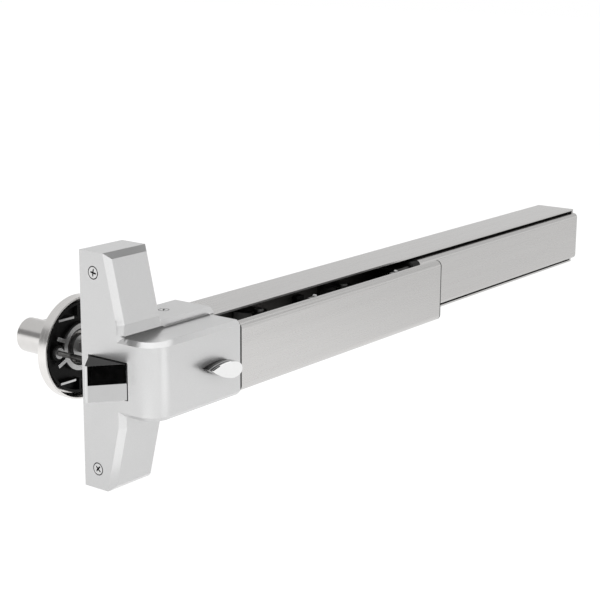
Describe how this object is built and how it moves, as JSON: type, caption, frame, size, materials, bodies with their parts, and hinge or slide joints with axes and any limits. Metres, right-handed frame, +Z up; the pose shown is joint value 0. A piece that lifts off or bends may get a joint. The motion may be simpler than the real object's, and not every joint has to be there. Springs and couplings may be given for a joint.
{
  "type": "panic bar",
  "caption": "Surface-mounted push-pad panic bar with a latch, rockers and rod inside, a thumbturn, and outside trim with a lever and key plug.",
  "frame": {"origin": "centre of the head's four fixing screws, in the plane of the door's inner face", "axes": "+X along the bar from the latch towards the far end, +Y through the door from the push side to the outside, +Z up"},
  "size_m": [0.671, 0.1759, 0.169],
  "materials": {
    "silver_paint": "silver metallic paint with a clear coat",
    "satin_stainless": "satin, brushed along the bar",
    "plated_steel": "bright zinc plating",
    "chrome": "polished",
    "satin_nickel": "satin nickel",
    "zinc_casting": "as cast",
    "brass": "satin",
    "black_plastic": "fine texture",
    "black_rubber": "matt"
  },
  "bodies": {
    "base": {"head_cover": "silver_paint", "head_fixing_plate": "plated_steel", "cover_end_screws": "plated_steel", "cover_side_screws": "plated_steel", "latch_guides": "black_plastic", "latch_spring_stops": "plated_steel", "latch_springs": "plated_steel", "base_rail": "satin_stainless", "filler_cover": "satin_stainless", "filler_clips": "plated_steel", "filler_plug": "black_plastic", "rail_end_plate": "satin_stainless", "end_bracket": "plated_steel", "rocker_bracket_front": "plated_steel", "rocker_bracket_rear": "plated_steel", "rocker_pivot_front": "plated_steel", "rocker_pivot_rear": "plated_steel", "rod_guides": "black_plastic", "return_spring": "plated_steel", "stop_bracket": "plated_steel", "stop_buffers": "black_rubber", "rose_shell": "satin_nickel", "rose_insert": "black_plastic", "rose_posts": "plated_steel", "through_bolts": "plated_steel", "rose_ring_plate": "plated_steel", "lever_spring": "plated_steel", "rib_strips": "plated_steel"},
    "pad": {"push_pad": "satin_stainless", "pad_end_cap": "black_plastic", "pad_carrier_front": "plated_steel", "pad_carrier_rear": "plated_steel", "pad_rivets": "plated_steel", "lug_pins": "plated_steel"},
    "rocker_front": {"rocker_front": "zinc_casting"},
    "rocker_rear": {"rocker_rear": "zinc_casting"},
    "rod": {"actuating_rod": "plated_steel", "rod_pins": "plated_steel", "rod_collar": "plated_steel"},
    "latch": {"latch_bolt": "chrome", "latch_slide": "plated_steel"},
    "thumbturn": {"thumbturn": "chrome", "thumbturn_seat": "black_plastic", "holding_cam": "plated_steel"},
    "lever": {"outside_lever": "satin_nickel", "lever_core": "plated_steel", "square_spindle": "plated_steel", "retractor_cam": "plated_steel"},
    "key_plug": {"key_plug": "brass"}
  },
  "joints": [
    {"name": "pad_push", "type": "slide", "parent": "base", "child": "pad", "axis": [0, 1, 0], "range_m": [0, 0.015], "stiffness_N_per_m": 200, "springref_m": -0.02},
    {"name": "rocker_front_turn", "type": "hinge", "parent": "base", "child": "rocker_front", "pos_m": [0.1503, -0.019, 0], "axis": [0, 0, 1], "range_deg": [0, 47.2]},
    {"name": "rocker_rear_turn", "type": "hinge", "parent": "base", "child": "rocker_rear", "pos_m": [0.2611, -0.019, 0], "axis": [0, 0, 1], "range_deg": [0, 47.2]},
    {"name": "rod_slide", "type": "slide", "parent": "base", "child": "rod", "axis": [1, 0, 0], "range_m": [0, 0.02105], "stiffness_N_per_m": 700, "springref_m": -0.02, "deforming": ["return_spring"]},
    {"name": "latch_slide", "type": "slide", "parent": "base", "child": "latch", "axis": [1, 0, 0], "range_m": [0, 0.02105], "stiffness_N_per_m": 250, "springref_m": -0.02, "deforming": ["latch_springs"]},
    {"name": "thumbturn_turn", "type": "hinge", "parent": "base", "child": "thumbturn", "pos_m": [0.0444, -0.07, -0.0015], "axis": [0, 1, 0], "range_deg": [0, 90]},
    {"name": "lever_turn", "type": "hinge", "parent": "base", "child": "lever", "pos_m": [0.021, 0.07, 0], "axis": [0, 1, 0], "range_deg": [-45, 45], "stiffness_Nm_per_rad": 2.5, "springref_deg": -2.29},
    {"name": "key_plug_turn", "type": "hinge", "parent": "lever", "child": "key_plug", "pos_m": [0.021, 0.09, 0], "axis": [0, 1, 0], "range_deg": [0, 90]}
  ],
  "couplings": [
    {"joint": "rocker_front_turn", "follows": "pad_push", "rad_per_m": 54.831},
    {"joint": "rocker_rear_turn", "follows": "pad_push", "rad_per_m": 54.831},
    {"joint": "rod_slide", "follows": "pad_push", "ratio": 1.4},
    {"joint": "latch_slide", "follows": "pad_push", "ratio": 1.4}
  ]
}
